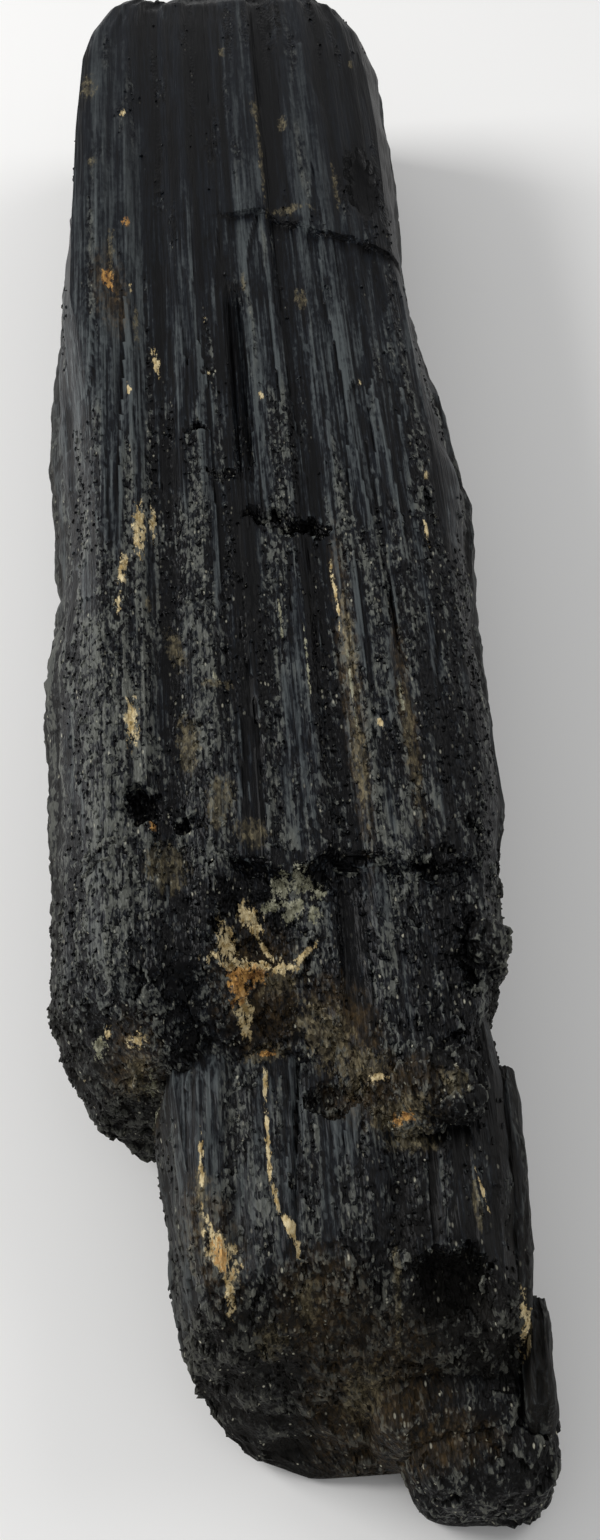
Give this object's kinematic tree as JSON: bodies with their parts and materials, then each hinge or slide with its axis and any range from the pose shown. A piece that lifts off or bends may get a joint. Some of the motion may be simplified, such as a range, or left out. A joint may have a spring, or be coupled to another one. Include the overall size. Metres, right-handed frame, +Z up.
{
  "type": "raw black tourmaline crystal",
  "caption": "Long striated black tourmaline crystal lying on its flat underside, with a broken, stepped near end that narrows to a lower crystal.",
  "frame": {"origin": "centre of the bounding box on the surface that the crystal lies on", "axes": "+Y along the crystal's grain from the broken stepped end towards the thick end, +X across it, +Z up from the flat underside"},
  "size_m": [0.0558, 0.2402, 0.0334],
  "materials": {
    "black_schorl": "satin, striated along the grain, dull and rough on the broken faces"
  },
  "bodies": {
    "root": {"tourmaline_crystal": "black_schorl"}
  },
  "joints": []
}
